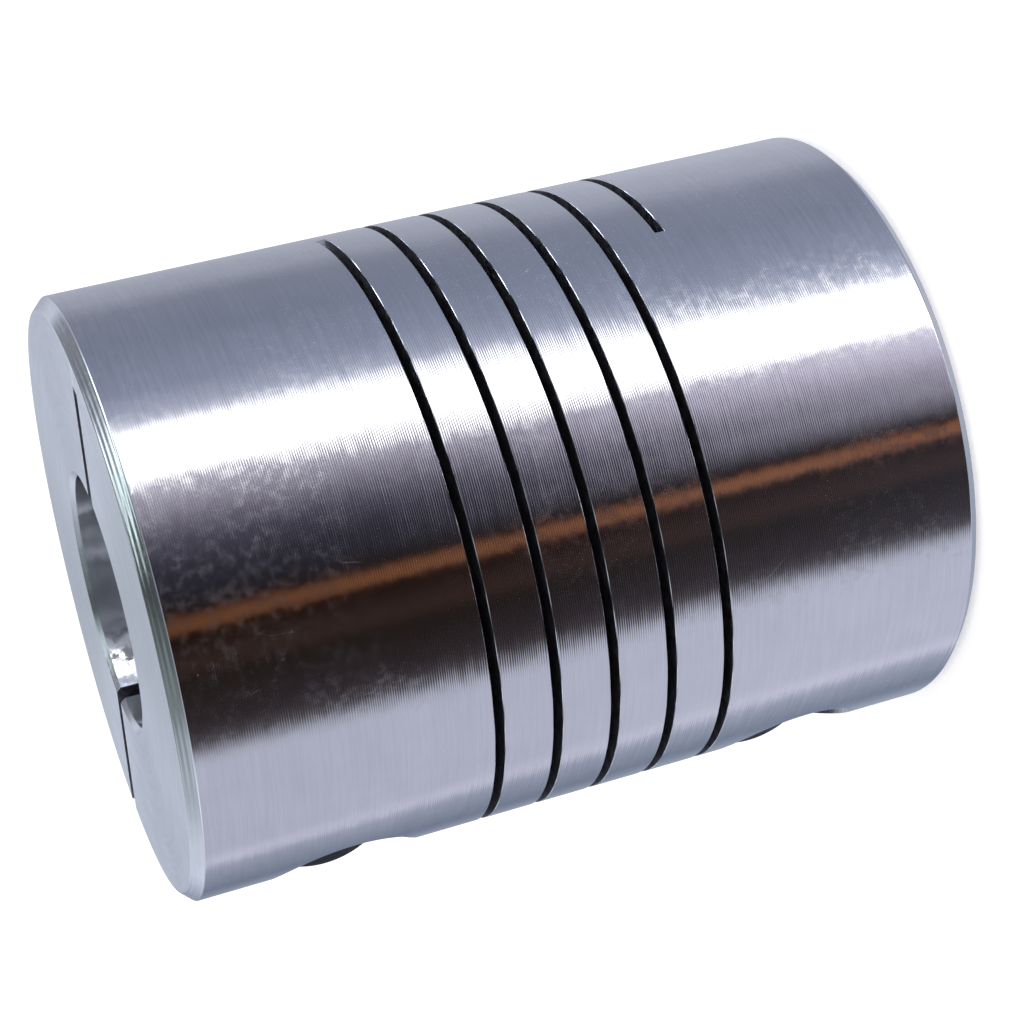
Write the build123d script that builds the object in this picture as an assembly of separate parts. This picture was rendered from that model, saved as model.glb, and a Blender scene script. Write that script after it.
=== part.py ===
from build123d import *
import os
from math import atan2, cos, pi, tan

# Helical-beam shaft coupling with clamp hubs, in millimetres.
#
# One turned aluminium bar carries a clamp hub at each end and a flexible
# middle, made by a single helical slot through its wall.  A saw slit runs
# across each hub, and a socket-head cap screw draws the two jaws together.
#
# Frame: the coupling stands on its lower end.  +Z runs along the shaft axis,
# the origin is the centre of the lower end face, both clamp slits open
# towards -X, and the screws are driven from the -Y side.

# Bar and bore
OUTER_DIAMETER = 19.0
LENGTH = 25.0
BORE_DIAMETER = 8.0
OUTER_CHAMFER = 0.35
BORE_CHAMFER = 0.15

# Relief bored inside the flexible middle, so that it never rubs the shafts
RELIEF_DIAMETER = 9.0

# Helical slot: right-handed and single-start, cut through the wall
SLOT_WIDTH = 0.3
SLOT_PITCH = 1.82
SLOT_TURNS = 5.08
SLOT_FOOT_HEIGHT = 7.05
SLOT_FOOT_ANGLE = -2.0

# Clamp slits: each passes through the bore and stops short of a hinge web
SLIT_WIDTH = 0.5
HINGE_WEB = 1.2
SLIT_OPENING_ANGLE = 180.0

# Clamp screws: M2.5 socket-head cap screws
SCREW_END_DISTANCE = 5.0
SCREW_OFFSET = 6.5
SEAT_DISTANCE = 2.7
SCREW_DIAMETER = 2.5
SCREW_LENGTH = 8.0
SCREW_TIP_CHAMFER = 0.35
HEAD_DIAMETER = 4.5
HEAD_HEIGHT = 2.5
HEAD_EDGE_RADIUS = 0.25
SOCKET_ACROSS_FLATS = 2.0
SOCKET_DEPTH = 1.1
SOCKET_CONE_DEPTH = 0.4
POCKET_DIAMETER = 4.8
CLEARANCE_HOLE_DIAMETER = 2.7

# How the cutters are made
SLOT_ARCS = 24
HELICOID_STEPS = 8
HELICOID_TOLERANCE = 0.0001
CUT_MARGIN = 1.0

# Worked out from the dimensions above
OUTER_RADIUS = OUTER_DIAMETER / 2
BORE_RADIUS = BORE_DIAMETER / 2
RELIEF_RADIUS = RELIEF_DIAMETER / 2
SLOT_RISE = SLOT_PITCH * SLOT_TURNS
SLOT_HEAD_HEIGHT = SLOT_FOOT_HEIGHT + SLOT_RISE


def slot_height(turn_angle):
    """Height of the slot's middle at turn_angle degrees round from its foot."""
    return SLOT_FOOT_HEIGHT + SLOT_PITCH * turn_angle / 360


def turned_bar():
    """The bar with its bore, its relief and all four edge chamfers."""
    step = RELIEF_RADIUS - BORE_RADIUS
    relief_foot = SLOT_FOOT_HEIGHT + SLOT_WIDTH
    relief_head = SLOT_HEAD_HEIGHT - SLOT_WIDTH
    profile = Polyline(
        (BORE_RADIUS + BORE_CHAMFER, 0),
        (OUTER_RADIUS - OUTER_CHAMFER, 0),
        (OUTER_RADIUS, OUTER_CHAMFER),
        (OUTER_RADIUS, LENGTH - OUTER_CHAMFER),
        (OUTER_RADIUS - OUTER_CHAMFER, LENGTH),
        (BORE_RADIUS + BORE_CHAMFER, LENGTH),
        (BORE_RADIUS, LENGTH - BORE_CHAMFER),
        (BORE_RADIUS, relief_head),
        (RELIEF_RADIUS, relief_head - step),
        (RELIEF_RADIUS, relief_foot + step),
        (BORE_RADIUS, relief_foot),
        (BORE_RADIUS, BORE_CHAMFER),
        close=True,
    )
    half_section = Plane.XZ * make_face(profile)
    return revolve(half_section, Axis.Z)


def slot_arc():
    """One short arc of the slot, as a cutter centred on +X at height 0.

    The slot's middle surface is the helicoid of height pitch * angle / turn,
    here laid out over the XY plane, thickened, and trimmed to its own sector.
    """
    half_arc = pi * SLOT_TURNS / SLOT_ARCS
    inner_x = (BORE_RADIUS - CUT_MARGIN) * cos(half_arc)
    outer_x = OUTER_RADIUS + CUT_MARGIN
    side_y = outer_x * tan(half_arc)
    steps = [step / HELICOID_STEPS for step in range(HELICOID_STEPS + 1)]
    columns = [inner_x + (outer_x - inner_x) * step for step in steps]
    rows = [side_y * (2 * step - 1) for step in steps]
    middle = Face.make_surface_from_array_of_points(
        [[(x, y, SLOT_PITCH * atan2(y, x) / (2 * pi)) for y in rows] for x in columns],
        tol=HELICOID_TOLERANCE, min_deg=3, max_deg=5,
    )
    slab = Pos(0, 0, -SLOT_WIDTH / 2) * extrude(middle, amount=SLOT_WIDTH, dir=(0, 0, 1))
    inner_y = inner_x * tan(half_arc)
    corners = [(inner_x, -inner_y), (outer_x, -side_y), (outer_x, side_y), (inner_x, inner_y)]
    sector = extrude(make_face(Polyline(*corners, close=True)), amount=SLOT_PITCH, both=True)
    return slab & sector


def helical_slot():
    """The cutters of the whole slot, one arc after another up the wall."""
    arc = slot_arc()
    rise = SLOT_RISE / SLOT_ARCS
    turn = SLOT_TURNS * 360 / SLOT_ARCS
    cutters = []
    for step in range(SLOT_ARCS):
        height = SLOT_FOOT_HEIGHT + (step + 0.5) * rise
        angle = SLOT_FOOT_ANGLE + (step + 0.5) * turn
        cutters.append(Pos(0, 0, height) * Rot(0, 0, angle) * arc)
    return cutters


def clamp_slit(end_height, slot_side_height):
    """A saw slit from one end face into the slot's first or last turn."""
    open_side = -OUTER_RADIUS - CUT_MARGIN
    web_side = OUTER_RADIUS - HINGE_WEB
    middle_x = (open_side + web_side) / 2
    middle_z = (end_height + slot_side_height) / 2
    depth = abs(end_height - slot_side_height)
    return Pos(middle_x, 0, middle_z) * Box(web_side - open_side, SLIT_WIDTH, depth)


def screw_axis(height, distance):
    """A plane across the screw, looking back out of the hub towards -Y."""
    return Plane((-SCREW_OFFSET, -distance, height), x_dir=(1, 0, 0), z_dir=(0, -1, 0))


def screw_hole(height):
    """Head pocket, clearance hole in one jaw, and the hole in the other."""
    pocket_depth = OUTER_RADIUS
    pocket = Cylinder(POCKET_DIAMETER / 2, pocket_depth, align=(Align.CENTER, Align.CENTER, Align.MIN))
    clearance = Cylinder(
        CLEARANCE_HOLE_DIAMETER / 2, SEAT_DISTANCE, align=(Align.CENTER, Align.CENTER, Align.MAX)
    )
    threaded = Cylinder(
        SCREW_DIAMETER / 2, SEAT_DISTANCE + OUTER_RADIUS, align=(Align.CENTER, Align.CENTER, Align.MAX)
    )
    return screw_axis(height, SEAT_DISTANCE) * (pocket + clearance + threaded)


def clamp_screw(height):
    """A socket-head cap screw seated in its pocket."""
    head = Cylinder(HEAD_DIAMETER / 2, HEAD_HEIGHT, align=(Align.CENTER, Align.CENTER, Align.MIN))
    head = fillet(head.edges().filter_by(GeomType.CIRCLE).sort_by(Axis.Z)[-1], HEAD_EDGE_RADIUS)
    shank = Cylinder(SCREW_DIAMETER / 2, SCREW_LENGTH, align=(Align.CENTER, Align.CENTER, Align.MAX))
    shank = chamfer(shank.edges().filter_by(GeomType.CIRCLE).sort_by(Axis.Z)[0], SCREW_TIP_CHAMFER)
    socket_radius = SOCKET_ACROSS_FLATS / 2
    socket_floor = HEAD_HEIGHT - SOCKET_DEPTH
    hexagon = RegularPolygon(socket_radius, 6, major_radius=False)
    socket = Pos(0, 0, socket_floor) * extrude(hexagon, SOCKET_DEPTH + CUT_MARGIN)
    cone = Pos(0, 0, socket_floor) * Cone(
        0, socket_radius, SOCKET_CONE_DEPTH, align=(Align.CENTER, Align.CENTER, Align.MAX)
    )
    return screw_axis(height, SEAT_DISTANCE) * (head + shank - socket - cone)


def coupling_body(screw_heights):
    """The finished one-piece coupling."""
    first_crossing = SLIT_OPENING_ANGLE - SLOT_FOOT_ANGLE
    whole_turns = (SLOT_TURNS * 360 - first_crossing) // 360
    last_crossing = first_crossing + 360 * whole_turns
    body = turned_bar()
    body -= clamp_slit(0, slot_height(first_crossing))
    body -= clamp_slit(LENGTH, slot_height(last_crossing))
    for height in screw_heights:
        body -= screw_hole(height)
    for cutter in helical_slot():
        body -= cutter
    return body


def main():
    """Build every piece and write one STEP file for each."""
    lower_height = SCREW_END_DISTANCE
    upper_height = LENGTH - SCREW_END_DISTANCE
    pieces = {
        "coupling_body": coupling_body([lower_height, upper_height]),
        "upper_clamp_screw": clamp_screw(upper_height),
        "lower_clamp_screw": clamp_screw(lower_height),
    }
    os.makedirs("parts", exist_ok=True)
    for name, shape in pieces.items():
        export_step(shape, f"parts/{name}.step")


main()
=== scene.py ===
import math

import bmesh
import bpy
from mathutils import Matrix, Vector


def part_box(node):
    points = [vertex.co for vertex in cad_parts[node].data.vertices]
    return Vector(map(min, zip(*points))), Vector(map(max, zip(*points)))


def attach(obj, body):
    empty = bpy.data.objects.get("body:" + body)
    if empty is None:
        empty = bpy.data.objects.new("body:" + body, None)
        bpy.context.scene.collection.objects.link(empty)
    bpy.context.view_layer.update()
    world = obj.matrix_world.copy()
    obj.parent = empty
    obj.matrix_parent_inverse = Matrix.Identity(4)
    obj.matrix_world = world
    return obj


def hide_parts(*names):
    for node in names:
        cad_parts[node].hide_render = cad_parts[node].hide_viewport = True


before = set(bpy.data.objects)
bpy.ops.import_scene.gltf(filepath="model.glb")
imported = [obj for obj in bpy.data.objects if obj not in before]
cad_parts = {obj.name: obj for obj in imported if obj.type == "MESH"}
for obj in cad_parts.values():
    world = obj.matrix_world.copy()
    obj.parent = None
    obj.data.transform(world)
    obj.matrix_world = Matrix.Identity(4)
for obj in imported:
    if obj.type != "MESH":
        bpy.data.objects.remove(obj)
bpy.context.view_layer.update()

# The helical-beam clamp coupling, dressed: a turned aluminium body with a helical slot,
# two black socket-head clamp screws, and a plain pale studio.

bl_info = {
    "name": "Helical beam coupling",
    "version": (1, 0, 0),
    "blender": (4, 5, 0),
    "location": "3D View > Sidebar > Coupling",
    "description": "Builds the dressed clamp coupling and its studio",
    "category": "Object",
}

MM = 0.001
TURN = 2 * math.pi
BODY = "root"
SCREW_NODES = ("upper_clamp_screw", "lower_clamp_screw")

# How finely round shapes are divided
BAR_STEPS = 360
HOLE_STEPS = 96
SLOT_STEPS_PER_TURN = 144
THREAD_STEPS_PER_TURN = 36
STEPS_PER_KNURL_TOOTH = 6
BLEND_STEPS = 4
HEAD_EDGE_STEPS = 5

# Corners nearer than this become one: on meshes made here, and on what a boolean leaves
SAME_CORNER = 1e-8
BOOLEAN_SLIVER = 2e-6

# How far the cutters reach past what they cut
CUT_MARGIN = 1.0 * MM
FLARE_REACH = 0.3 * MM

# The tapped holes: turns of thread beyond the screw's tip, where they start, their play around
# the screw, and their depth as a share of the screw's own thread
TAPPED_TURNS = 7
GROOVES_PAST_TIP = 0.1 * MM
TAPPED_PLAY = 0.015 * MM
TAPPED_DEPTH_SHARE = 0.8

# The screws' threads: play, chamfer at the tip, and how far the shank runs up into the head
THREAD_PLAY = 0.02 * MM
TIP_CHAMFER = 0.33 * MM
SHANK_IN_HEAD = 0.1 * MM

# Edges of a screw that turn by more than this stay sharp
SHARP_ANGLE = math.radians(32)


# ---------------------------------------------------------------- sizes and colours

BODY_LOW, BODY_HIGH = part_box("coupling_body")
SCREW_LOW, SCREW_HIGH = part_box("upper_clamp_screw")


def length(name, description, default, **more):
    """A size in metres, shown in the sidebar in the scene's unit."""
    return bpy.props.FloatProperty(
        name=name, description=description, default=default, unit="LENGTH", precision=5, min=0, **more
    )


def colour(name, description, default):
    """A linear colour with a swatch in the sidebar."""
    return bpy.props.FloatVectorProperty(
        name=name, description=description, default=default, subtype="COLOR", size=3, min=0, max=1
    )


class CouplingBodySizes(bpy.types.PropertyGroup):
    outer_diameter: length("Outer diameter", "Across the turned wall", BODY_HIGH.x - BODY_LOW.x)
    length: length("Length", "Over both end faces", BODY_HIGH.z - BODY_LOW.z)
    bore: length("Bore", "Diameter of the shaft bore", 8.0 * MM)
    relief: length("Relief", "Diameter bored inside the flexible middle", 9.0 * MM)
    rim_chamfer: length("Rim chamfer", "Chamfer between the wall and each end face", 0.35 * MM)
    rim_blend: length("Rim blend", "How far each corner of the rim chamfer is worn round", 0.04 * MM)
    bore_chamfer: length("Bore chamfer", "Chamfer at each mouth of the bore", 0.15 * MM)
    slot_width: length("Slot width", "Width of the helical slot", 0.3 * MM)
    slot_pitch: length("Slot pitch", "Rise of the slot in one turn", 1.82 * MM)
    slot_turns: bpy.props.FloatProperty(
        name="Slot turns", description="Turns of the helical slot", default=5.08, min=0.5
    )
    slot_foot: length("Slot foot", "Height at which the slot starts", 7.05 * MM)
    slot_angle: bpy.props.FloatProperty(
        name="Slot angle", description="Angle about the shaft axis at which the slot starts",
        default=math.radians(-2), unit="ROTATION",
    )
    slot_edge: length("Slot edge break", "Width of the broken edge along the slot", 0.015 * MM)
    slit_width: length("Slit width", "Width of each clamp slit", 0.5 * MM)
    hinge_web: length("Hinge web", "Wall left at the closed side of each slit", 1.2 * MM)


class ClampScrewSizes(bpy.types.PropertyGroup):
    head_diameter: length("Head diameter", "Across the knurled head", SCREW_HIGH.x - SCREW_LOW.x)
    head_height: length("Head height", "From the seat to the top of the head", 2.5 * MM)
    head_edge: length("Head edge", "Radius round the top of the head", 0.25 * MM)
    knurl_depth: length("Knurl depth", "Depth of the straight knurl", 0.055 * MM)
    knurl_teeth: bpy.props.IntProperty(
        name="Knurl teeth", description="Number of teeth round the head", default=44, min=12
    )
    thread_diameter: length("Thread diameter", "Outside the thread", 2.5 * MM)
    thread_pitch: length("Thread pitch", "Rise of the thread in one turn", 0.45 * MM)
    thread_depth: length("Thread depth", "From crest to root", 0.25 * MM)
    socket: length("Socket", "Across the flats of the hexagon socket", 2.0 * MM)
    socket_depth: length("Socket depth", "Depth of the hexagon socket", 1.1 * MM)
    pocket_diameter: length("Pocket diameter", "Counterbore for the head", 4.8 * MM)
    clearance_hole: length("Clearance hole", "Hole in the jaw under the head", 2.7 * MM)


class CouplingColours(bpy.types.PropertyGroup):
    aluminium: colour("Aluminium", "Bare turned aluminium", (0.905, 0.912, 0.93))
    # The slot wall's dark tint is mostly painted shade inside the narrow slot and slits; the rough cut
    # itself is only a little duller than the bare wall.
    cut_wall_shade: colour("Slot wall", "Aluminium inside the slot and slits", (0.26, 0.25, 0.28))
    black_steel: colour("Black steel", "Black oxide on the screws", (0.018, 0.019, 0.024))
    floor: colour("Floor", "Pale studio floor", (0.9, 0.9, 0.9))


# ---------------------------------------------------------------- small tools for meshes


def mesh_from(name, points, faces, finishes, materials):
    """A mesh of points in metres, with each face's finish given by its place in materials."""
    mesh = bpy.data.meshes.new(name)
    mesh.from_pydata(points, [], faces)
    for material in materials:
        mesh.materials.append(material)
    mesh.polygons.foreach_set("material_index", finishes)
    mesh.update()
    return mesh


def link(name, mesh):
    """Put the mesh into the scene as an object."""
    thing = bpy.data.objects.new(name, mesh)
    bpy.context.scene.collection.objects.link(thing)
    return thing


def remove(things):
    """Take working objects and their meshes out of the file."""
    for thing in things:
        mesh = thing.data
        bpy.data.objects.remove(thing)
        bpy.data.meshes.remove(mesh)


def polar(radius, angle, height):
    """A point in metres from its radius, its angle round Z and its height."""
    return Vector((radius * math.cos(angle), radius * math.sin(angle), height))


def welded(mesh, near=SAME_CORNER):
    """Join corners that fall together, drop faces that shrink to nothing, and close the holes."""
    work = bmesh.new()
    work.from_mesh(mesh)
    bmesh.ops.remove_doubles(work, verts=work.verts, dist=near)
    bmesh.ops.delete(work, geom=[v for v in work.verts if not v.link_faces], context="VERTS")
    bmesh.ops.dissolve_degenerate(work, dist=near, edges=work.edges)
    rims = [edge for edge in work.edges if edge.is_boundary]
    if rims:
        bmesh.ops.holes_fill(work, edges=rims, sides=0)
    bmesh.ops.recalc_face_normals(work, faces=work.faces)
    work.to_mesh(mesh)
    work.free()
    return mesh


def lathe(name, profile, steps, materials):
    """Turn a closed profile of (radius, height, finish) once round Z."""
    points, faces, finishes = [], [], []
    count = len(profile)
    for step in range(steps):
        angle = TURN * step / steps
        points += [polar(radius, angle, height) for radius, height, _ in profile]
    for step in range(steps):
        here, there = step * count, (step + 1) % steps * count
        for corner in range(count):
            after = (corner + 1) % count
            faces.append((here + corner, there + corner, there + after, here + after))
            finishes.append(profile[corner][2])
    return mesh_from(name, points, faces, finishes, materials)


def boolean(thing, others, operation):
    """The mesh of thing with each of the others cut from it or joined to it, as one closed skin."""
    for other in others:
        step = thing.modifiers.new(other.name, "BOOLEAN")
        step.operation = operation
        step.solver = "EXACT"
        step.material_mode = "TRANSFER"
        step.object = other
    bpy.context.view_layer.update()
    depsgraph = bpy.context.evaluated_depsgraph_get()
    made = bpy.data.meshes.new_from_object(thing.evaluated_get(depsgraph))
    if not made.polygons:
        raise RuntimeError(f"{thing.name}: the boolean left nothing")
    return welded(made, BOOLEAN_SLIVER)


def even_triangles(thing):
    """Split the wide faces that a boolean leaves into well-shaped triangles, with the same shading."""
    step = thing.modifiers.new("even_triangles", "TRIANGULATE")
    step.ngon_method = "BEAUTY"
    step.quad_method = "BEAUTY"
    step.keep_custom_normals = True
    return thing


# ---------------------------------------------------------------- small tools for nodes


def place(tree, kind, sockets=None, **settings):
    """Add a node, set it up, and fill or link its sockets by name or number."""
    node = tree.nodes.new(kind)
    for name, value in settings.items():
        setattr(node, name, value)
    for name, value in (sockets or {}).items():
        if isinstance(value, bpy.types.NodeSocket):
            tree.links.new(value, node.inputs[name])
        else:
            node.inputs[name].default_value = value
    return node


def maths(tree, operation, *values, clamp=False):
    """A sum on numbers."""
    node = place(tree, "ShaderNodeMath", dict(enumerate(values)), operation=operation, use_clamp=clamp)
    return node.outputs[0]


def vectors(tree, operation, *values):
    """A sum on vectors."""
    node = place(tree, "ShaderNodeVectorMath", dict(enumerate(values)), operation=operation)
    return node.outputs["Value" if operation == "LENGTH" else "Vector"]


def scaled(tree, vector, factor):
    """The vector times a number."""
    node = place(tree, "ShaderNodeVectorMath", {0: vector, "Scale": factor}, operation="SCALE")
    return node.outputs["Vector"]


def ramp(tree, value, *stops):
    """Greyscale or colour stops of (position, value)."""
    node = place(tree, "ShaderNodeValToRGB", {0: value})
    elements = node.color_ramp.elements
    while len(elements) > 1:
        elements.remove(elements[-1])
    for number, (position, shade) in enumerate(stops):
        element = elements[0] if number == 0 else elements.new(position)
        element.position = position
        tint = shade if isinstance(shade, tuple) else (shade, shade, shade)
        element.color = (*tint, 1)
    return node.outputs["Color"]


def remap(tree, value, low, high, to_low, to_high, smooth=False):
    """The value carried from one range to another, and held inside it."""
    node = place(
        tree, "ShaderNodeMapRange",
        {"Value": value, "From Min": low, "From Max": high, "To Min": to_low, "To Max": to_high},
        interpolation_type="SMOOTHSTEP" if smooth else "LINEAR",
    )
    return node.outputs["Result"]


def noise(tree, vector, scale, detail=2.0, rough=0.5):
    """Cloudy noise between 0 and 1."""
    node = place(
        tree, "ShaderNodeTexNoise",
        {"Vector": vector, "Scale": scale, "Detail": detail, "Roughness": rough},
    )
    return node.outputs["Fac"]


def mix_colour(tree, factor, first, second, blend="MIX"):
    """One colour laid over another."""
    node = place(
        tree, "ShaderNodeMix", {"Factor": factor, 6: first, 7: second},
        data_type="RGBA", blend_type=blend,
    )
    return node.outputs[2]


def vector_of(tree, x, y, z):
    """A vector from its three numbers."""
    return place(tree, "ShaderNodeCombineXYZ", {0: x, 1: y, 2: z}).outputs[0]


def first_channel(tree, tint):
    """The red of a colour, as a number."""
    return place(tree, "ShaderNodeSeparateColor", {0: tint}).outputs[0]


def shaded(tree, tint, shade):
    """The tint, made darker or lighter by the number shade."""
    grey = place(tree, "ShaderNodeCombineColor", {0: shade, 1: shade, 2: shade}).outputs[0]
    return mix_colour(tree, 1.0, (*tint, 1), grey, "MULTIPLY")


def object_mm(tree):
    """The place on the part, in millimetres."""
    return scaled(tree, place(tree, "ShaderNodeTexCoord").outputs["Object"], 1 / MM)


def shared_group(name, inputs, outputs):
    """A new node group with numbers for inputs, as (group, input node, output node)."""
    group = bpy.data.node_groups.new(name, "ShaderNodeTree")
    for label, default in inputs:
        socket = group.interface.new_socket(name=label, in_out="INPUT", socket_type="NodeSocketFloat")
        socket.default_value = default
    for label, kind in outputs:
        group.interface.new_socket(name=label, in_out="OUTPUT", socket_type=kind)
    return group, group.nodes.new("NodeGroupInput"), group.nodes.new("NodeGroupOutput")


def use_group(tree, group, **values):
    """Use a shared group, with _ for each space in the names of its sockets."""
    node = tree.nodes.new("ShaderNodeGroup")
    node.node_tree = group
    for name, value in values.items():
        node.inputs[name.replace("_", " ")].default_value = value
    return node


# ---------------------------------------------------------------- shared surface effects

# Feed lines passed for each mm across an end face, against each mm up the wall
FACE_TRAVEL = 0.37
# How far a burr tips the surface over the cut, and out of the end face
BURR_LEAN_OVER, BURR_LEAN_OUT = 0.12, 0.15


def turning_marks():
    """The fine feed lines that a lathe tool leaves round every turned face."""
    group, given, made = shared_group(
        "turning marks",
        [("Feed", 0.07), ("Ripple", 0.05), ("Chatter", 0.05), ("Mottle", 0.01), ("Streak length", 2.0)],
        [("Normal", "NodeSocketVector"), ("Streak", "NodeSocketFloat")],
    )
    place_in_mm = object_mm(group)
    x, y, z = place(group, "ShaderNodeSeparateXYZ", {0: place_in_mm}).outputs
    radius = vectors(group, "LENGTH", vector_of(group, x, y, 0.0))
    around = vectors(group, "NORMALIZE", vector_of(group, maths(group, "MULTIPLY", y, -1.0), x, 0.0))
    normal = place(group, "ShaderNodeNewGeometry").outputs["Normal"]
    across = vectors(group, "CROSS_PRODUCT", normal, around)
    # How far the tool has travelled, up the wall or out over an end face
    travel = maths(group, "MULTIPLY_ADD", radius, FACE_TRAVEL, z)
    # Streaks: very fine across the lines, long along them
    along = maths(group, "DIVIDE", 1.0, given.outputs["Streak length"])
    fine = maths(group, "DIVIDE", travel, given.outputs["Feed"])
    drawn = [maths(group, "MULTIPLY", part, along) for part in (x, y)]
    grain = vector_of(group, *drawn, fine)
    streak = noise(group, grain, 0.8, 2.0, 0.6)
    # Lines: one groove for each feed, wandering a little
    waver = noise(group, grain, 0.12, 1.0)
    phase = maths(group, "MULTIPLY_ADD", waver, 9.0, maths(group, "MULTIPLY", fine, TURN))
    line = maths(group, "SINE", phase)
    centred = maths(group, "MULTIPLY_ADD", streak, 2.0, -1.0)
    # The normal swings along the lines, dips across them, and is dented here and there
    swing = maths(group, "MULTIPLY_ADD", line, 0.5, centred)
    swing = maths(group, "MULTIPLY", swing, given.outputs["Chatter"])
    dip = maths(group, "MULTIPLY_ADD", centred, 0.8, line)
    dip = maths(group, "MULTIPLY", dip, given.outputs["Ripple"])
    blot = place(group, "ShaderNodeTexNoise", {"Vector": place_in_mm, "Scale": 2.6, "Detail": 2.0})
    blot = vectors(group, "SUBTRACT", blot.outputs["Color"], (0.5, 0.5, 0.5))
    blot = scaled(group, blot, maths(group, "MULTIPLY", given.outputs["Mottle"], 4.0))
    tilt = vectors(group, "ADD", scaled(group, around, swing), scaled(group, across, dip))
    tilted = vectors(group, "ADD", vectors(group, "ADD", normal, tilt), blot)
    group.links.new(vectors(group, "NORMALIZE", tilted), made.inputs["Normal"])
    group.links.new(streak, made.inputs["Streak"])
    return group


def handling_wear():
    """Cloudy patches, hair scratches and small bright specks from handling."""
    group, given, made = shared_group(
        "handling wear",
        [("Cloud size", 1.4), ("Smudge amount", 0.5), ("Scratch amount", 0.6), ("Speck amount", 0.6)],
        [("Cloud", "NodeSocketFloat"), ("Smudge", "NodeSocketFloat"), ("Scratch", "NodeSocketFloat"),
         ("Speck", "NodeSocketFloat")],
    )
    place_in_mm = object_mm(group)
    size = maths(group, "DIVIDE", 1.0, given.outputs["Cloud size"])
    cloud = noise(group, place_in_mm, size, 5.0, 0.62)
    group.links.new(cloud, made.inputs["Cloud"])
    # Smudges: a dabbed film in patches, and the ridges of a finger here and there
    dabs = remap(group, noise(group, place_in_mm, 3.2, 2.0, 0.6), 0.42, 0.66, 0.0, 1.0)
    patches = remap(group, noise(group, place_in_mm, 0.22, 2.0), 0.42, 0.56, 0.0, 1.0, smooth=True)
    spots = place(group, "ShaderNodeTexVoronoi", {"Vector": place_in_mm, "Scale": 0.13}, feature="F1")
    rings = maths(group, "MULTIPLY_ADD", noise(group, place_in_mm, 0.7, 1.0), 16.0,
                  maths(group, "MULTIPLY", spots.outputs["Distance"], 130.0))
    ridges = remap(group, maths(group, "SINE", rings), -0.2, 0.9, 0.0, 1.0)
    finger = remap(group, spots.outputs["Distance"], 0.16, 0.42, 1.0, 0.0)
    film = maths(group, "MAXIMUM", maths(group, "MULTIPLY", dabs, patches),
                 maths(group, "MULTIPLY", maths(group, "MULTIPLY", ridges, finger), 0.7))
    smudge = maths(group, "MULTIPLY", film, given.outputs["Smudge amount"])
    group.links.new(smudge, made.inputs["Smudge"])
    # Scratches: thin bent lines that run mostly up the part, broken into short pieces
    warp = place(group, "ShaderNodeTexNoise", {"Vector": place_in_mm, "Scale": 0.25, "Detail": 1.0})
    bent = vectors(group, "ADD", place_in_mm, scaled(group, warp.outputs["Color"], 3.0))
    stretched = vectors(group, "MULTIPLY", bent, (0.9, 0.9, 0.28))
    cells = place(
        group, "ShaderNodeTexVoronoi", {"Vector": stretched, "Scale": 0.55}, feature="DISTANCE_TO_EDGE"
    )
    hair = remap(group, cells.outputs["Distance"], 0.0, 0.006, 1.0, 0.0)
    broken = remap(group, noise(group, place_in_mm, 0.7, 2.0), 0.62, 0.68, 0.0, 1.0)
    scratch = maths(group, "MULTIPLY", hair, broken)
    scratch = maths(group, "MULTIPLY", scratch, given.outputs["Scratch amount"])
    group.links.new(scratch, made.inputs["Scratch"])
    # Specks: a dot in one cell out of five
    dots = place(group, "ShaderNodeTexVoronoi", {"Vector": place_in_mm, "Scale": 0.9}, feature="F1")
    dot = remap(group, dots.outputs["Distance"], 0.02, 0.05, 1.0, 0.0)
    chosen = remap(group, first_channel(group, dots.outputs["Color"]), 0.8, 0.82, 0.0, 1.0)
    speck = maths(group, "MULTIPLY", dot, chosen)
    speck = maths(group, "MULTIPLY", speck, given.outputs["Speck amount"])
    group.links.new(speck, made.inputs["Speck"])
    return group


def torn_edges():
    """Bright burrs along the +Y side of a saw cut in the plane Y = 0, rolled over towards it."""
    group, given, made = shared_group(
        "torn edges",
        [("Cut half width", 0.25), ("Reach", 0.1), ("Grain", 1.6)],
        [("Torn", "NodeSocketFloat"), ("Lean", "NodeSocketVector")],
    )
    place_in_mm = object_mm(group)
    _, y, z = place(group, "ShaderNodeSeparateXYZ", {0: place_in_mm}).outputs
    # Which end the place belongs to, and the lean of its burr: out of that end and over the cut
    end = maths(group, "SIGN", maths(group, "SUBTRACT", z, BODY_HIGH.z / 2 / MM))
    outwards = vector_of(group, 0.0, -BURR_LEAN_OVER, maths(group, "MULTIPLY", end, BURR_LEAN_OUT))
    beyond = maths(group, "SUBTRACT", y, given.outputs["Cut half width"])
    grit = place(group, "ShaderNodeTexNoise", {"Vector": place_in_mm, "Detail": 3.0, "Roughness": 0.7})
    group.links.new(given.outputs["Grain"], grit.inputs["Scale"])
    ragged = remap(group, grit.outputs["Fac"], 0.35, 0.65, 0.7, 1.8)
    edge = maths(group, "MULTIPLY", ragged, given.outputs["Reach"])
    torn = maths(group, "DIVIDE", maths(group, "SUBTRACT", edge, beyond), given.outputs["Reach"])
    torn = maths(group, "MULTIPLY", torn, 2.0, clamp=True)
    torn = maths(group, "MULTIPLY", torn, maths(group, "GREATER_THAN", y, 0.0))
    group.links.new(torn, made.inputs["Torn"])
    push = scaled(group, vectors(group, "SUBTRACT", grit.outputs["Color"], (0.5, 0.5, 0.5)), 0.5)
    group.links.new(vectors(group, "ADD", push, outwards), made.inputs["Lean"])
    return group


# ---------------------------------------------------------------- materials

# Depth of the grain that a cutter leaves, and of the grain of the black oxide
CUT_GRAIN_DEPTH = 0.02 * MM
OXIDE_DEPTH = 0.01 * MM
# A full turn of the sheen's direction is 1, and a quarter lays it up the part
SHEEN_TURN = 0.25


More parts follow.
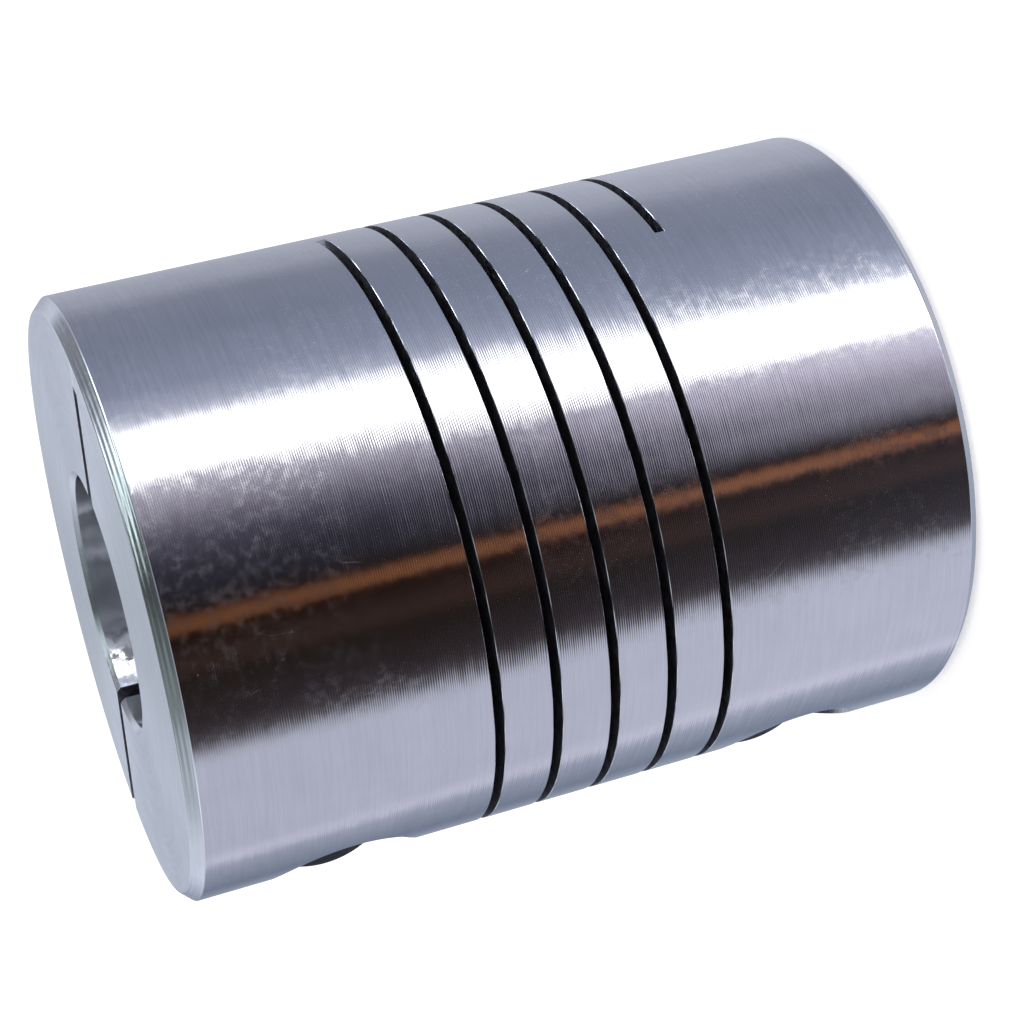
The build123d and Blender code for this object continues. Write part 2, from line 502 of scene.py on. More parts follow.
def blank_material(name):
    """A material with nothing but its shader and its output."""
    material = bpy.data.materials.new(name)
    material.use_nodes = True
    tree = material.node_tree
    tree.nodes.clear()
    shader = tree.nodes.new("ShaderNodeBsdfPrincipled")
    output = tree.nodes.new("ShaderNodeOutputMaterial")
    tree.links.new(shader.outputs[0], output.inputs["Surface"])
    return material, tree, shader


def turned_metal(name, tint, groups, *, feed, ripple, chatter, mottle, rough, spread, cloudiness,
                 film=0.0, stretch=0.7, torn=0.0):
    """Bare aluminium with feed lines and the long sheen that crosses them.

    feed is the pitch of the lines in mm; ripple, chatter and mottle tilt the normal across them,
    along them and anywhere.  The roughness is rough, give or take spread, and film adds to it
    where it is smudged.  cloudiness darkens, stretch pulls the sheen long, and torn is the width
    in mm of a burr along the slit.
    """
    material, tree, shader = blank_material(name)
    marks = use_group(tree, groups["marks"], Feed=feed, Ripple=ripple, Chatter=chatter, Mottle=mottle)
    wear = use_group(tree, groups["wear"])
    shade = remap(tree, marks.outputs["Streak"], 0.25, 0.75, 0.94, 1.04)
    cloud = remap(tree, wear.outputs["Cloud"], 0.3, 0.7, 1 - cloudiness, 1.0)
    coloured = shaded(tree, tint, maths(tree, "MULTIPLY", shade, cloud))
    bright = maths(tree, "MAXIMUM", wear.outputs["Scratch"], wear.outputs["Speck"])
    gloss = remap(tree, wear.outputs["Cloud"], 0.3, 0.72, rough - spread, rough + spread)
    gloss = maths(tree, "MULTIPLY_ADD", wear.outputs["Smudge"], film, gloss)
    gloss = maths(tree, "MULTIPLY_ADD", bright, 0.3, gloss)
    facing = marks.outputs["Normal"]
    if torn:
        burr = use_group(tree, groups["torn"], Reach=torn)
        push = scaled(tree, burr.outputs["Lean"], burr.outputs["Torn"])
        facing = vectors(tree, "NORMALIZE", vectors(tree, "ADD", facing, push))
        bright = maths(tree, "MAXIMUM", bright, burr.outputs["Torn"])
    tree.links.new(mix_colour(tree, bright, coloured, (1, 1, 1, 1)), shader.inputs["Base Color"])
    tree.links.new(gloss, shader.inputs["Roughness"])
    tree.links.new(facing, shader.inputs["Normal"])
    tangent = place(tree, "ShaderNodeTangent", direction_type="RADIAL", axis="Z")
    tree.links.new(tangent.outputs[0], shader.inputs["Tangent"])
    shader.inputs["Metallic"].default_value = 1.0
    shader.inputs["Anisotropic"].default_value = stretch
    shader.inputs["Anisotropic Rotation"].default_value = SHEEN_TURN
    return material


def cut_metal(name, tint, rough, grain):
    """Aluminium left by a saw, a drill or a slotting cutter, with its grain per mm on each axis."""
    material, tree, shader = blank_material(name)
    place_in_mm = object_mm(tree)
    grit = noise(tree, vectors(tree, "MULTIPLY", place_in_mm, grain), 1.0, 4.0, 0.6)
    shade = remap(tree, grit, 0.3, 0.7, 0.55, 1.1)
    tree.links.new(shaded(tree, tint, shade), shader.inputs["Base Color"])
    tree.links.new(remap(tree, grit, 0.3, 0.7, rough - 0.1, rough + 0.12), shader.inputs["Roughness"])
    bump = place(tree, "ShaderNodeBump", {"Height": grit, "Strength": 0.5, "Distance": CUT_GRAIN_DEPTH})
    tree.links.new(bump.outputs[0], shader.inputs["Normal"])
    shader.inputs["Metallic"].default_value = 1.0
    return material


def black_oxide(name, tint):
    """Oiled black oxide on steel, rubbed brighter in cloudy patches."""
    material, tree, shader = blank_material(name)
    place_in_mm = object_mm(tree)
    patch = noise(tree, place_in_mm, 1.6, 5.0, 0.6)
    rubbed = remap(tree, patch, 0.52, 0.72, 0.0, 0.5)
    worn = tuple(channel * 6 + 0.02 for channel in tint)
    tree.links.new(mix_colour(tree, rubbed, (*tint, 1), (*worn, 1)), shader.inputs["Base Color"])
    tree.links.new(remap(tree, patch, 0.3, 0.7, 0.26, 0.42), shader.inputs["Roughness"])
    bump = place(
        tree, "ShaderNodeBump",
        {"Height": noise(tree, place_in_mm, 14.0, 3.0), "Strength": 0.25, "Distance": OXIDE_DEPTH},
    )
    tree.links.new(bump.outputs[0], shader.inputs["Normal"])
    shader.inputs["Metallic"].default_value = 0.6
    shader.inputs["Specular IOR Level"].default_value = 0.5
    return material


def body_finishes(colours):
    """Every finish of the body, in the order that its faces name them."""
    groups = {"marks": turning_marks(), "wear": handling_wear(), "torn": torn_edges()}
    metal = tuple(colours.aluminium)
    # Painted shade: the slot and slit walls take this dark tint for the shade inside them.
    cut = tuple(colours.cut_wall_shade)
    return {
        "wall": turned_metal(
            "turned_wall", metal, groups, feed=0.07, ripple=0.045, chatter=0.004, mottle=0.006,
            rough=0.1, spread=0.015, cloudiness=0.06, film=0.2, stretch=0.4,
        ),
        "face": turned_metal(
            "faced_end", metal, groups, feed=0.09, ripple=0.025, chatter=0.01, mottle=0.01,
            rough=0.34, spread=0.05, cloudiness=0.08, film=0.1, torn=0.05,
        ),
        "bore": turned_metal(
            "bored_inside", metal, groups, feed=0.12, ripple=0.012, chatter=0.008, mottle=0.02,
            rough=0.2, spread=0.04, cloudiness=0.1, torn=1.1,
        ),
        "slot": cut_metal("slot_wall", cut, 0.5, (3.0, 3.0, 14.0)),
        "edge": turned_metal(
            "broken_edge", metal, groups, feed=0.05, ripple=0.3, chatter=0.3, mottle=0.1,
            rough=0.35, spread=0.1, cloudiness=0.1, stretch=0.0,
        ),
        "slit": cut_metal("sawn_slit", cut, 0.45, (9.0, 2.0, 9.0)),
        "pocket": cut_metal("milled_pocket", metal, 0.35, (2.0, 9.0, 2.0)),
    }


# ---------------------------------------------------------------- the coupling body


def rounded(corners, before, after, blend):
    """The corners of a profile, each worn round by a short curve that starts blend away from it."""
    path = [Vector(spot) for spot in (before, *corners, after)]
    made = []
    for last, corner, following in zip(path, path[1:], path[2:]):
        start = corner + (last - corner).normalized() * blend
        end = corner + (following - corner).normalized() * blend
        for step in range(BLEND_STEPS + 1):
            share = step / BLEND_STEPS
            made.append(start.lerp(corner, share).lerp(corner.lerp(end, share), share))
    return [(spot.x, spot.y) for spot in made]


def bar_profile(sizes, order):
    """Half-section of the bored bar, with the finish of the edge that leaves each corner."""
    outer, inner, relief = sizes.outer_diameter / 2, sizes.bore / 2, sizes.relief / 2
    top, rim, mouth = sizes.length, sizes.rim_chamfer, sizes.bore_chamfer
    foot = sizes.slot_foot + sizes.slot_width
    head = sizes.slot_foot + sizes.slot_pitch * sizes.slot_turns - sizes.slot_width
    step = relief - inner
    wall, face, bore = order["wall"], order["face"], order["bore"]
    lower = rounded([(outer - rim, 0.0), (outer, rim)], (0.0, 0.0), (outer, top), sizes.rim_blend)
    return [
        (inner + mouth, 0.0, face),
        *((radius, height, wall) for radius, height in lower),
        *((radius, top - height, wall) for radius, height in reversed(lower[1:])),
        (lower[0][0], top, face),
        (inner + mouth, top, bore),
        (inner, top - mouth, bore),
        (inner, head, bore),
        (relief, head - step, bore),
        (relief, foot + step, bore),
        (inner, foot, bore),
        (inner, mouth, bore),
    ]


def slot_cutter(sizes, order, materials):
    """The helical slot as a solid ribbon, flared where it leaves the wall."""
    outer, half, edge = sizes.outer_diameter / 2, sizes.slot_width / 2, sizes.slot_edge
    inner = sizes.bore / 2 - CUT_MARGIN
    wall, flare = order["slot"], order["edge"]
    section = [
        (inner, -half, wall),
        (outer - edge, -half, flare),
        (outer + FLARE_REACH, -half - edge - FLARE_REACH, flare),
        (outer + FLARE_REACH, half + edge + FLARE_REACH, flare),
        (outer - edge, half, wall),
        (inner, half, wall),
    ]
    steps = round(sizes.slot_turns * SLOT_STEPS_PER_TURN)
    points, faces, finishes = [], [], []
    count = len(section)
    for step in range(steps + 1):
        turns = sizes.slot_turns * step / steps
        height = sizes.slot_foot + sizes.slot_pitch * turns
        angle = sizes.slot_angle + TURN * turns
        points += [polar(radius, angle, height + rise) for radius, rise, _ in section]
    for step in range(steps):
        here, there = step * count, (step + 1) * count
        for corner in range(count):
            after = (corner + 1) % count
            faces.append((here + corner, there + corner, there + after, here + after))
            finishes.append(section[corner][2])
    faces.append(tuple(range(count)))
    faces.append(tuple(steps * count + corner for corner in reversed(range(count))))
    finishes += [flare, flare]
    return link("slot_cutter", mesh_from("slot_cutter", points, faces, finishes, materials))


def slit_cutter(sizes, order, materials, end, stop):
    """One clamp slit, from beyond an end face down or up to the slot."""
    beyond = end + math.copysign(CUT_MARGIN, end - stop)
    outer, half = sizes.outer_diameter / 2, sizes.slit_width / 2
    left, right = -outer - CUT_MARGIN, outer - sizes.hinge_web
    low, high = min(beyond, stop), max(beyond, stop)
    points = [(x, y, z) for z in (low, high) for x, y in
              ((left, -half), (right, -half), (right, half), (left, half))]
    faces = [(3, 2, 1, 0), (4, 5, 6, 7), (0, 1, 5, 4), (1, 2, 6, 5), (2, 3, 7, 6), (3, 0, 4, 7)]
    return link("slit_cutter", mesh_from("slit_cutter", points, faces, [order["slit"]] * 6, materials))


def screw_place(node, sizes):
    """Where a screw sits: its axis, with +Z out through the head and the origin at the seat."""
    low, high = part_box(node)
    seat = Vector(((low.x + high.x) / 2, low.y + sizes.head_height, (low.z + high.z) / 2))
    turn = Matrix(((1, 0, 0), (0, 0, -1), (0, 1, 0))).to_4x4()
    return Matrix.Translation(seat) @ turn


def threaded_shank(sizes, low, high, materials):
    """A threaded rod from low to high along Z, chamfered at its low end."""
    crest = sizes.thread_diameter / 2 - THREAD_PLAY
    root = crest - sizes.thread_depth
    # One thread, as shares of the pitch with their radii
    across = ((0.0, root), (0.1, root), (0.44, crest), (0.56, crest), (0.9, root))
    around, pitch = THREAD_STEPS_PER_TURN, sizes.thread_pitch
    turns = math.ceil((high - low) / pitch) + 2
    first = math.floor(low / pitch) - 1
    points, faces = [], []

    def corner(step, part):
        if part == len(across):
            step, part = step + around, 0
        return step * len(across) + part

    for step in range((turns + 1) * around + 1):
        angle = TURN * step / around
        for share, radius in across:
            height = pitch * (first + step / around + share)
            held = min(max(height, low), high)
            points.append(polar(min(radius, crest - TIP_CHAMFER + (held - low)), angle, held))
    for step in range(turns * around):
        for part in range(len(across)):
            faces.append((corner(step, part), corner(step + 1, part),
                          corner(step + 1, part + 1), corner(step, part + 1)))
    return welded(mesh_from("screw_shank", points, faces, [0] * len(faces), materials))


def hole_cutter(node, sizes, order, materials, reach):
    """Head pocket and clearance hole in one jaw, and a tapped hole right through the other."""
    low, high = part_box(node)
    tip = sizes.head_height - (high.y - low.y)
    pocket, clear = sizes.pocket_diameter / 2, sizes.clearance_hole / 2
    # As deep as the head is tall, the clearance hole ends inside the slit
    depth = sizes.head_height
    crest = sizes.thread_diameter / 2 + TAPPED_PLAY
    root = crest - TAPPED_DEPTH_SHARE * sizes.thread_depth
    pitch, first = sizes.thread_pitch, tip + GROOVES_PAST_TIP
    outline = [(0.0, first - TAPPED_TURNS * pitch), (root, first - TAPPED_TURNS * pitch)]
    for turn in range(TAPPED_TURNS, 0, -1):
        foot = first - turn * pitch
        outline += [(root, foot + 0.1 * pitch), (crest, foot + 0.5 * pitch),
                    (crest, foot + 0.6 * pitch), (root, foot + pitch)]
    outline[-1:] = [(crest, -depth), (clear, -depth), (clear, 0.0), (pocket, 0.0),
                    (pocket, reach), (0.0, reach)]
    profile = [(radius, height, order["pocket"]) for radius, height in outline]
    cutter = link("hole_cutter", welded(lathe("hole_cutter", profile, HOLE_STEPS, materials)))
    cutter.matrix_world = screw_place(node, sizes)
    return cutter


def jaw_depths(sizes):
    """How far each clamp slit runs: to the slot's first and last pass at the open side."""
    first = (math.pi - sizes.slot_angle) / TURN
    last = first + math.floor(sizes.slot_turns - first)
    return [sizes.slot_foot + sizes.slot_pitch * turns for turns in (first, last)]


def loop_normal(corner, face, name, sizes, axes):
    """The true surface's normal at a corner of a face, from the kind of cut that made it."""
    normal = face.normal
    radial = Vector((corner.x, corner.y, 0)).normalized()
    if name in ("turned_wall", "faced_end", "bored_inside", "broken_edge"):
        outward = Vector((normal.x, normal.y, 0)).length
        if normal.dot(radial) < 0:
            outward = -outward
        return radial * outward + Vector((0, 0, normal.z))
    # The slot's two long walls lie nearly level, and its ends don't
    if name == "slot_wall" and abs(normal.z) > 0.8:
        around = Vector((-radial.y, radial.x, 0))
        lean = sizes.slot_pitch / (TURN * Vector((corner.x, corner.y)).length)
        return (Vector((0, 0, 1)) - lean * around).normalized() * math.copysign(1, normal.z)
    if name == "milled_pocket":
        axis = min(axes, key=lambda spot: abs(spot.z - face.center.z))
        spoke = Vector((corner.x - axis.x, 0, corner.z - axis.z))
        # On the axis itself a spoke has no direction
        if spoke.length > 0.2 * MM:
            spoke.normalize()
            outward = Vector((normal.x, 0, normal.z)).length
            if normal.dot(spoke) < 0:
                outward = -outward
            return spoke * outward + Vector((0, normal.y, 0))
    return normal


def true_normals(mesh, sizes, axes):
    """Shade every face as the curved surface that it stands for."""
    names = [material.name for material in mesh.materials]
    mesh.polygons.foreach_set("use_smooth", [True] * len(mesh.polygons))
    normals = [(0, 0, 1)] * len(mesh.loops)
    for face in mesh.polygons:
        name = names[face.material_index]
        for loop in face.loop_indices:
            corner = mesh.vertices[mesh.loops[loop].vertex_index].co
            normals[loop] = loop_normal(corner, face, name, sizes, axes)
    mesh.normals_split_custom_set(normals)


class COUPLING_OT_body(bpy.types.Operator):
    """Build the slotted, clamped body with its cut edges and finishes"""

    bl_idname = "coupling.body"
    bl_label = "Coupling body"

    def execute(self, context):
        sizes, screw = context.scene.coupling_body_sizes, context.scene.clamp_screw_sizes
        finishes = body_finishes(context.scene.coupling_colours)
        materials = list(finishes.values())
        order = {name: number for number, name in enumerate(finishes)}
        bar = link("bar", lathe("bar", bar_profile(sizes, order), BAR_STEPS, materials))
        lower, upper = jaw_depths(sizes)
        cutters = [
            slot_cutter(sizes, order, materials),
            slit_cutter(sizes, order, materials, 0.0, lower),
            slit_cutter(sizes, order, materials, sizes.length, upper),
        ]
        for node in SCREW_NODES:
            cutters.append(hole_cutter(node, screw, order, materials, sizes.outer_diameter / 2))
        made = boolean(bar, cutters, "DIFFERENCE")
        made.name = "dressed_body"
        axes = [screw_place(node, screw).translation for node in SCREW_NODES]
        true_normals(made, sizes, axes)
        remove([bar, *cutters])
        body = even_triangles(link("dressed_body", made))
        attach(body, BODY)
        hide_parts("coupling_body")
        return {"FINISHED"}


# ---------------------------------------------------------------- the clamp screws


def head_rings(sizes):
    """Rings of the head, from under it over the top and into the socket.

    Each is (radius, height, knurled, hexed), with hexed 1 at the socket's mouth and 2 below it.
    """
    wide, tall, edge = sizes.head_diameter / 2, sizes.head_height, sizes.head_edge
    flats = sizes.socket / 2
    mouth = flats * 1.22
    floor = tall - sizes.socket_depth
    bevel = 0.015 * MM
    rings = [
        (0.3 * MM, 0.0, 0, 0),
        (wide - 0.16 * MM, 0.0, 0, 0),
        (wide - 0.05 * MM, 0.08 * MM, 0, 0),
        (wide - 0.02 * MM, 0.22 * MM, 0, 0),
        (wide, 0.3 * MM, 1, 0),
        (wide, tall - edge - 0.12 * MM, 1, 0),
        (wide - bevel, tall - edge, 0, 0),
    ]
    for step in range(1, HEAD_EDGE_STEPS + 1):
        angle = math.pi / 2 * step / HEAD_EDGE_STEPS
        radius = wide - edge + (edge - bevel) * math.cos(angle)
        rings.append((radius, tall - edge + edge * math.sin(angle), 0, 0))
    rings += [
        (mouth + 0.05 * MM, tall, 0, 0),
        (mouth, tall - 0.01 * MM, 0, 0),
        (mouth, tall, 0, 1),
        (mouth, floor, 0, 2),
        (flats * 0.97, floor, 0, 0),
        (0.05 * MM, floor - 0.4 * MM, 0, 0),
    ]
    return rings


def hexagon_radius(flats, angle):
    """Distance from the centre to the side of a hexagon in the direction of angle."""
    within = math.fmod(angle, math.pi / 3) - math.pi / 6
    return flats / math.cos(within)


def screw_head(sizes, materials):
    """The knurled head with its rounded edge and hexagon socket, closed underneath."""
    steps = sizes.knurl_teeth * STEPS_PER_KNURL_TOOTH
    flats, tall = sizes.socket / 2, sizes.head_height
    points, faces = [], []
    rings = head_rings(sizes)
    for radius, height, knurled, hexed in rings:
        for step in range(steps):
            angle = TURN * step / steps
            here, at = radius, height
            if knurled:
                across = (step % STEPS_PER_KNURL_TOOTH) / STEPS_PER_KNURL_TOOTH
                here -= sizes.knurl_depth * abs(2 * across - 1) ** 1.5
            if hexed:
                here = min(radius, hexagon_radius(flats, angle))
                at = height if hexed == 2 else tall - 0.01 * MM - (radius - here) * 0.9
            points.append(polar(here, angle, at))
    for ring in range(len(rings) - 1):
        for step in range(steps):
            after = (step + 1) % steps
            low, high = ring * steps, (ring + 1) * steps
            faces.append((low + step, low + after, high + after, high + step))
    faces.append(tuple(reversed(range(steps))))
    last = (len(rings) - 1) * steps
    faces.append(tuple(last + step for step in range(steps)))
    return mesh_from("screw_head", points, faces, [0] * len(faces), materials)


class COUPLING_OT_clamp_screws(bpy.types.Operator):
    """Build both socket-head clamp screws with their knurls, sockets and threads"""

    bl_idname = "coupling.clamp_screws"
    bl_label = "Clamp screws"

    def execute(self, context):
        sizes = context.scene.clamp_screw_sizes
        materials = [black_oxide("black_oxide", tuple(context.scene.coupling_colours.black_steel))]
        for node in SCREW_NODES:
            low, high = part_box(node)
            reach = high.y - low.y - sizes.head_height
            head = link("screw_head", screw_head(sizes, materials))
            shank = link("screw_shank", threaded_shank(sizes, -reach, SHANK_IN_HEAD, materials))
            made = boolean(head, [shank], "UNION")
            made.name = "dressed_" + node
            made.transform(screw_place(node, sizes))
            made.polygons.foreach_set("use_smooth", [True] * len(made.polygons))
            made.set_sharp_from_angle(angle=SHARP_ANGLE)
            remove([head, shank])
            screw = link("dressed_" + node, made)
            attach(screw, BODY)
            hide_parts(node)
        return {"FINISHED"}


# ---------------------------------------------------------------- the studio

# What the shiny wall mirrors, going round the part: angle in degrees from the middle of the
# dark side, and the light that comes from there.
ROOM = [
    (-180, (0.42, 0.44, 0.52)),
    (-150, (0.30, 0.34, 0.42)),
    (-134, (0.17, 0.20, 0.28)),
    (-122, (0.24, 0.27, 0.35)),
    (-111, (0.33, 0.35, 0.45)),
    (-106, (0.56, 0.56, 0.68)),
    (-103, (0.54, 0.54, 0.66)),
    (-99, (0.46, 0.47, 0.58)),
    (-53, (0.46, 0.47, 0.58)),
    (-50.5, (0.42, 0.43, 0.52)),
    (-44, (0.06, 0.052, 0.058)),
    (-37, (0.028, 0.021, 0.024)),
    (-20, (0.014, 0.010, 0.008)),
    (-15, (0.033, 0.018, 0.015)),
    (-11, (0.027, 0.015, 0.012)),
    (-3, (0.008, 0.004, 0.003)),
    (-1, (0.14, 0.056, 0.024)),
    (2, (0.128, 0.048, 0.021)),
    (5, (0.012, 0.010, 0.011)),
    (20, (0.026, 0.025, 0.037)),
    (29, (0.055, 0.052, 0.074)),
    (36, (0.13, 0.12, 0.155)),
    (44, (0.28, 0.26, 0.33)),
    (53, (0.44, 0.42, 0.51)),
    (56, (1.0, 1.0, 1.0)),
    (71, (1.0, 1.0, 1.0)),
    (79, (0.42, 0.44, 0.57)),
    (90, (0.25, 0.28, 0.38)),
    (115, (0.19, 0.215, 0.295)),
    (137, (0.215, 0.235, 0.30)),
    (150, (0.33, 0.35, 0.43)),
    (180, (0.42, 0.44, 0.52)),
]
# Direction of the middle of the dark side, in degrees from +X
ROOM_MIDDLE = -62.0
# How much more than the rest the white panels shine
PANEL_GLOW = 2.6

# Below these slopes the panels lean towards the middle: by a share of their angle on the white
# panel's side and on the other side, and by no more than so many degrees
LEAN_SLOPES = (-0.17, -0.43)
WHITE_SIDE_LEAN, WHITE_SIDE_LEAN_MOST = 0.433, 13.0
DARK_SIDE_LEAN, DARK_SIDE_LEAN_MOST = 0.13, -5.5

# Dim patches low down: the angles where each starts, is full, fades and ends, the slopes where it
# starts and is full, and its light.  A screen below the white panel, more of the lamp, and haze.
DIM_PATCHES = (
    (3.0, 17.0, 36.0, 46.0, -0.28, -0.5, (0.28, 0.263, 0.325)),
    (-4.0, -1.0, 1.5, 4.5, -0.2, -0.36, (0.085, 0.04, 0.028)),
    (-50.0, -38.0, -2.0, 2.0, -0.3, -0.45, (0.012, 0.014, 0.021)),
)

# The ceiling takes over from the walls between these slopes, in colours by half the slope
CEILING_SLOPES = (0.05, 0.35)
CEILING_COLOURS = (
    (0.0, (0.66, 0.715, 0.86)),
    (0.3, (0.6, 0.65, 0.75)),
    (0.5, (0.40, 0.44, 0.50)),
    (1.0, (0.13, 0.155, 0.16)),
)
# Above these slopes its light changes going round, as a share of CEILING_GLOW
HIGH_SLOPES = (0.28, 0.4)
CEILING = [
    (-180, 0.125), (-100, 0.125), (-82, 0.2), (-62, 0.15), (-45, 0.09), (0, 0.06), (44, 0.06),
    (70, 0.08), (84, 0.16), (92, 0.8), (96, 1.0), (106, 1.0), (114, 0.4), (119, 0.2),
    (130, 0.07), (143, 0.045), (155, 0.045), (166, 0.09), (180, 0.125),
]
CEILING_GLOW = 8.0

# The floor: its width in metres, the squares along it, its own glow and that of the light on it
FLOOR_WIDTH, FLOOR_SQUARES = 3.0, 24
FLOOR_GLOW = 0.35
STUDIO_GLOW = 1.06

# The camera: lens and film in mm, where it is in mm, and which way its side and its back face
LENS, FILM = 86.31, 36.0
CAMERA_SPOT = (51.88, -55.20, 33.45)
CAMERA_RIGHT = (0.0049, -0.3638, -0.9315)
CAMERA_BACK = (0.6619, -0.6971, 0.2756)


def round_the_room(tree, position, stops):
    """A ramp of stops given in degrees, from -180 to 180."""
    return ramp(tree, position, *[((degrees + 180) / 360, light) for degrees, light in stops])


def studio_room():
    """The light all round: plain white for the floor, and a room of panels for what shines."""
    world = bpy.data.worlds.new("studio_room")
    bpy.context.scene.world = world
    world.use_nodes = True
    world.cycles.sampling_method = "NONE"
    tree = world.node_tree
    tree.nodes.clear()
    towards = place(tree, "ShaderNodeTexCoord").outputs["Generated"]
    x, y, z = place(tree, "ShaderNodeSeparateXYZ", {0: towards}).outputs
    middle = math.radians(ROOM_MIDDLE)
    # Angle round Z from the middle of the dark side
    forward = maths(tree, "ADD", maths(tree, "MULTIPLY", x, math.cos(middle)),
                    maths(tree, "MULTIPLY", y, math.sin(middle)))
    sideways = maths(tree, "SUBTRACT", maths(tree, "MULTIPLY", y, math.cos(middle)),
                     maths(tree, "MULTIPLY", x, math.sin(middle)))
    angle = maths(tree, "ARCTAN2", sideways, forward)
    level = vectors(tree, "LENGTH", vector_of(tree, x, y, 0.0))
    slope = maths(tree, "DIVIDE", z, maths(tree, "MAXIMUM", level, 0.05))
    # The panels lean: low down, each one sits a little nearer to the middle
    turned = maths(tree, "MULTIPLY", angle, 360 / TURN)
    lean = maths(tree, "MAXIMUM", maths(tree, "MULTIPLY", turned, DARK_SIDE_LEAN), DARK_SIDE_LEAN_MOST)
    lean = maths(tree, "MAXIMUM", maths(tree, "MULTIPLY", turned, WHITE_SIDE_LEAN), lean)
    lean = maths(tree, "MINIMUM", lean, WHITE_SIDE_LEAN_MOST)
    low = remap(tree, slope, *LEAN_SLOPES, 0.0, 1.0, smooth=True)
    position = remap(tree, maths(tree, "MULTIPLY_ADD", low, lean, turned), -180.0, 180.0, 0.0, 1.0)
    # The walls, with their white panels brighter than a colour can say
    walls = round_the_room(tree, position, ROOM)
    white = remap(tree, first_channel(tree, walls), 0.6, 1.0, 0.0, 1.0)
    white = maths(tree, "MULTIPLY_ADD", white, PANEL_GLOW - 1, 1.0)
    lit = scaled(tree, walls, maths(tree, "MULTIPLY", white, maths(tree, "MULTIPLY_ADD", low, 0.1, 1.0)))
    for starts, full, fades, ends, top, bottom, light in DIM_PATCHES:
        patch = maths(
            tree, "MULTIPLY", remap(tree, turned, starts, full, 0.0, 1.0, smooth=True),
            maths(tree, "MULTIPLY", remap(tree, turned, fades, ends, 1.0, 0.0, smooth=True),
                  remap(tree, slope, top, bottom, 0.0, 1.0, smooth=True)),
        )
        lit = vectors(tree, "ADD", lit, scaled(tree, light, patch))
    # The ceiling, with its own change of light going round
    ceiling = ramp(tree, maths(tree, "MULTIPLY", slope, 0.5, clamp=True), *CEILING_COLOURS)
    share = first_channel(tree, round_the_room(tree, position, CEILING))
    share = maths(tree, "MULTIPLY_ADD", share, CEILING_GLOW, -1.0)
    high = remap(tree, slope, *HIGH_SLOPES, 0.0, 1.0)
    ceiling = scaled(tree, ceiling, maths(tree, "MULTIPLY_ADD", share, high, 1.0))
    shown = mix_colour(tree, remap(tree, slope, *CEILING_SLOPES, 0.0, 1.0), lit, ceiling)
    room = place(tree, "ShaderNodeBackground", {"Color": shown, "Strength": 1.0})
    plain = place(tree, "ShaderNodeBackground", {"Color": (1, 1, 1, 1), "Strength": STUDIO_GLOW})
    shiny = place(tree, "ShaderNodeLightPath").outputs["Is Glossy Ray"]
    blend = place(tree, "ShaderNodeMixShader", {0: shiny, 1: plain.outputs[0], 2: room.outputs[0]})
    output = tree.nodes.new("ShaderNodeOutputWorld")
    tree.links.new(blend.outputs[0], output.inputs["Surface"])


def studio_floor(tint):
    """A wide pale floor under the part."""
    row = FLOOR_SQUARES + 1
    lines = [(step / FLOOR_SQUARES - 0.5) * FLOOR_WIDTH for step in range(row)]
    points = [(x, y, 0.0) for x in lines for y in lines]
    faces = [(i * row + j, (i + 1) * row + j, (i + 1) * row + j + 1, i * row + j + 1)
             for i in range(FLOOR_SQUARES) for j in range(FLOOR_SQUARES)]
    material, tree, shader = blank_material("pale_floor")
    place_in_mm = object_mm(tree)
    shade = remap(tree, noise(tree, place_in_mm, 0.01, 2.0), 0.3, 0.7, 0.99, 1.0)
    tree.links.new(shaded(tree, tint, shade), shader.inputs["Base Color"])
    shader.inputs["Roughness"].default_value = 1.0
    shader.inputs["Specular IOR Level"].default_value = 0.0
    shader.inputs["Emission Color"].default_value = (1, 1, 1, 1)
    shader.inputs["Emission Strength"].default_value = FLOOR_GLOW
    floor = link("pale_floor", mesh_from("pale_floor", points, faces, [0] * len(faces), [material]))
    floor.visible_glossy = False


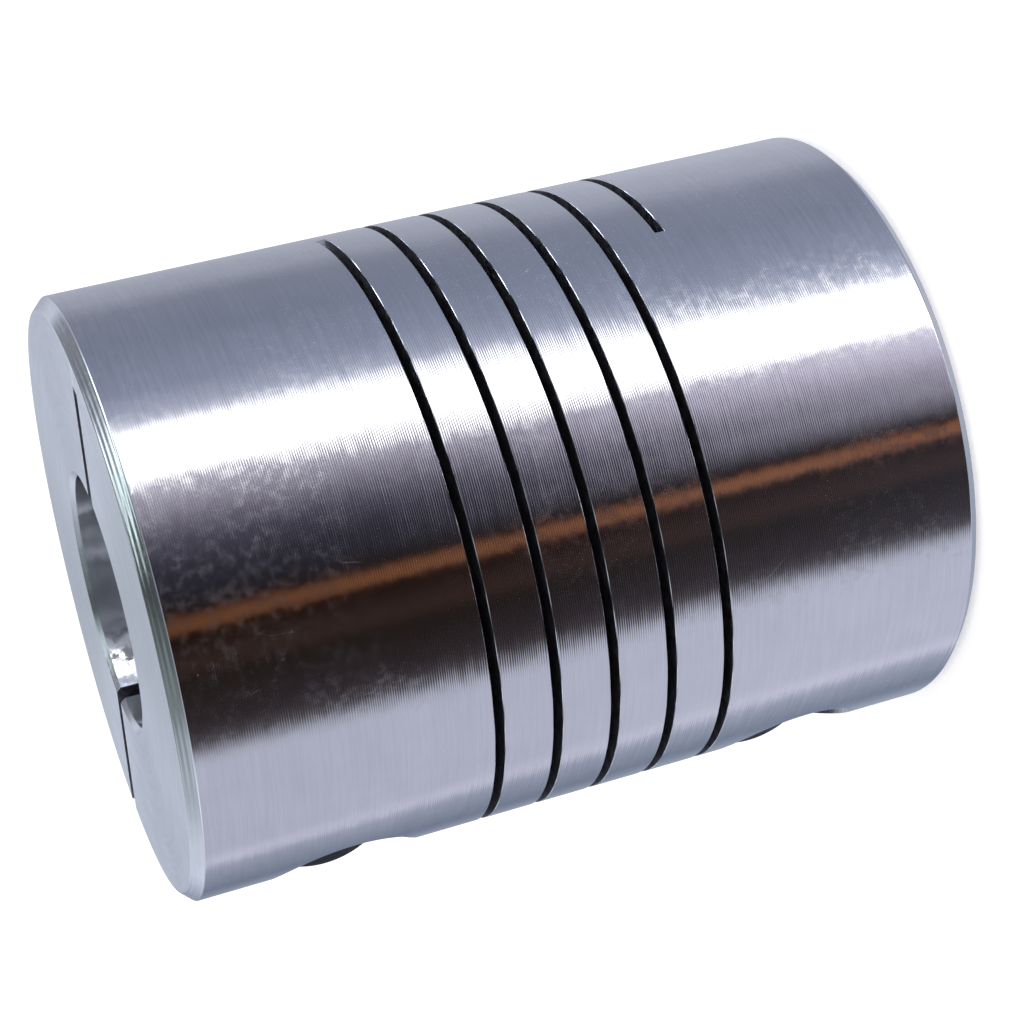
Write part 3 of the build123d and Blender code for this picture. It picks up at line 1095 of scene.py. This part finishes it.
def studio_camera():
    """The camera: a long lens, a little above the part and rolled onto its side."""
    data = bpy.data.cameras.new("camera")
    data.lens = LENS
    data.sensor_width = FILM
    data.clip_start, data.clip_end = 0.001, 10.0
    camera = bpy.data.objects.new("camera", data)
    bpy.context.scene.collection.objects.link(camera)
    right = Vector(CAMERA_RIGHT).normalized()
    back = Vector(CAMERA_BACK).normalized()
    up = back.cross(right).normalized()
    right = up.cross(back)
    pose = Matrix((right, up, back)).transposed().to_4x4()
    pose.translation = Vector(CAMERA_SPOT) * MM
    camera.matrix_world = pose
    bpy.context.scene.camera = camera


class COUPLING_OT_studio(bpy.types.Operator):
    """Set up the pale floor, the soft light all round and the camera"""

    bl_idname = "coupling.studio"
    bl_label = "Studio"

    def execute(self, context):
        context.scene.view_settings.view_transform = "Standard"
        studio_room()
        studio_floor(tuple(context.scene.coupling_colours.floor))
        studio_camera()
        return {"FINISHED"}


# ---------------------------------------------------------------- sidebar and registration


class COUPLING_PT_sidebar(bpy.types.Panel):
    bl_idname = "COUPLING_PT_sidebar"
    bl_label = "Beam coupling"
    bl_space_type = "VIEW_3D"
    bl_region_type = "UI"
    bl_category = "Coupling"

    def draw(self, context):
        scene = context.scene
        for title, group, operator in (
            ("Body", scene.coupling_body_sizes, "coupling.body"),
            ("Clamp screws", scene.clamp_screw_sizes, "coupling.clamp_screws"),
            ("Colours and studio", scene.coupling_colours, "coupling.studio"),
        ):
            box = self.layout.box()
            box.label(text=title)
            for name in group.__annotations__:
                box.prop(group, name)
            box.operator(operator)


CLASSES = (
    CouplingBodySizes,
    ClampScrewSizes,
    CouplingColours,
    COUPLING_OT_body,
    COUPLING_OT_clamp_screws,
    COUPLING_OT_studio,
    COUPLING_PT_sidebar,
)


def register():
    for entry in CLASSES:
        bpy.utils.register_class(entry)
    bpy.types.Scene.coupling_body_sizes = bpy.props.PointerProperty(type=CouplingBodySizes)
    bpy.types.Scene.clamp_screw_sizes = bpy.props.PointerProperty(type=ClampScrewSizes)
    bpy.types.Scene.coupling_colours = bpy.props.PointerProperty(type=CouplingColours)


def unregister():
    del bpy.types.Scene.coupling_colours
    del bpy.types.Scene.clamp_screw_sizes
    del bpy.types.Scene.coupling_body_sizes
    for entry in reversed(CLASSES):
        bpy.utils.unregister_class(entry)


def main():
    """Build every piece and the studio."""
    register()
    bpy.ops.coupling.body()
    bpy.ops.coupling.clamp_screws()
    bpy.ops.coupling.studio()


if __name__ == "__main__":
    main()
